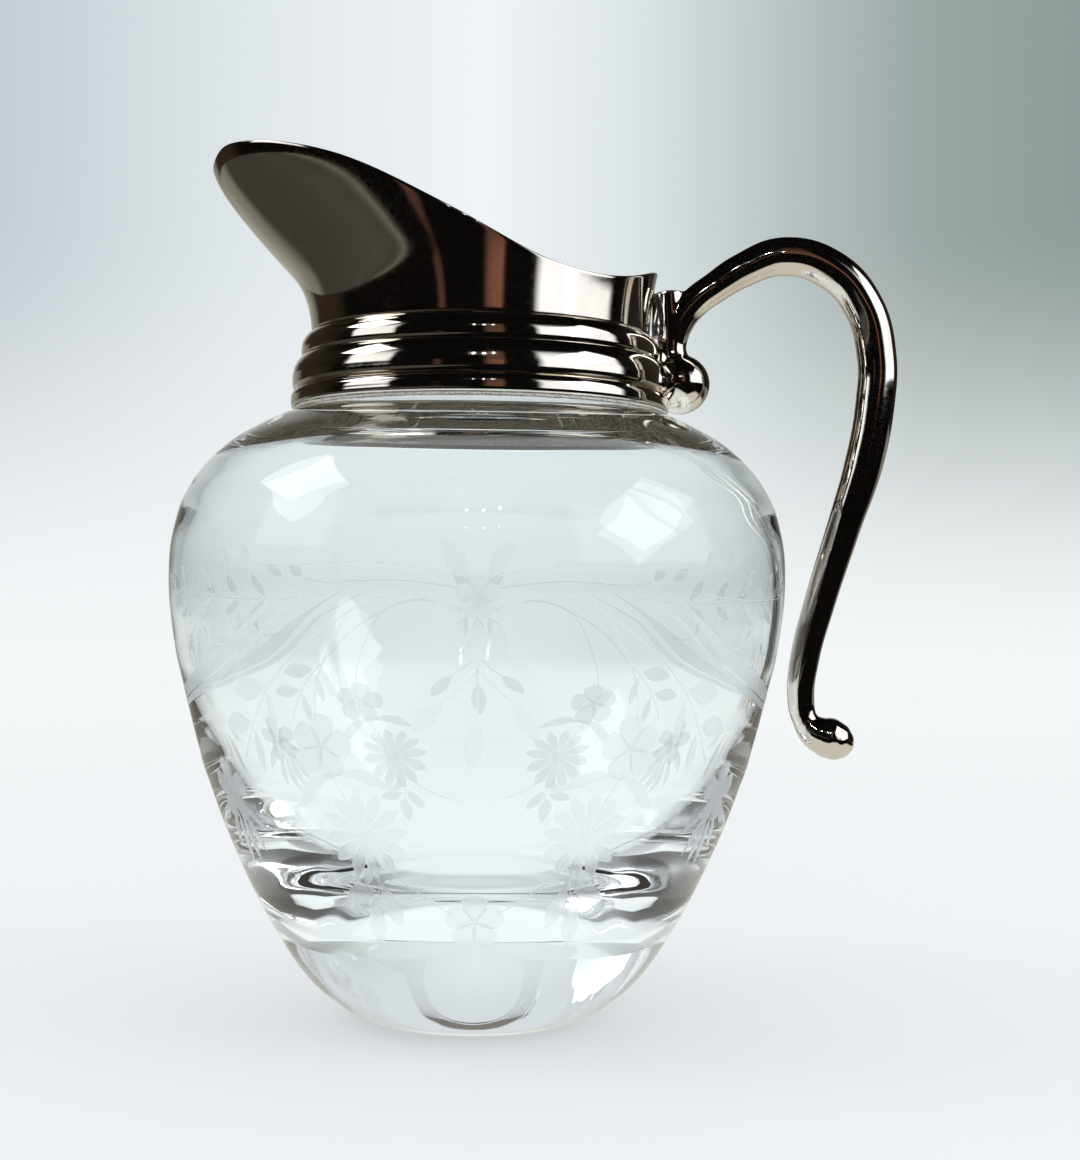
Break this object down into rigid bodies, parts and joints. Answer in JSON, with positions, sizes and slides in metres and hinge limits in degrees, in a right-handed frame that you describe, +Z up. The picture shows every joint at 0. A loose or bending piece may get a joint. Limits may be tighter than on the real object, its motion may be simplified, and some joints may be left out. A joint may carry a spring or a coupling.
{
  "type": "crystal pitcher",
  "caption": "Wide round glass jug with a thick base, a polished metal collar with rounded rings, a raised helmet-shaped pouring spout and a scrolled handle.",
  "frame": {"origin": "centre of the flat underside of the foot", "axes": "+Z up along the glass axis, -X towards the pouring spout, +X towards the handle, the jug is symmetrical about the XZ plane"},
  "size_m": [0.1816, 0.153, 0.2126],
  "materials": {
    "crystal": "clear polished crystal with frosted cutting",
    "cement": "matt plaster",
    "silver_plate": "mirror polished silver plate",
    "solder": "rough bright solder"
  },
  "bodies": {
    "root": {"crystal_body": "crystal", "neck_cement": "cement", "collar_sleeve": "silver_plate", "collar_ring_upper": "silver_plate", "collar_ring_middle": "silver_plate", "collar_ring_lower": "silver_plate", "spout_shell": "silver_plate", "handle": "silver_plate", "handle_solder": "solder"}
  },
  "joints": []
}
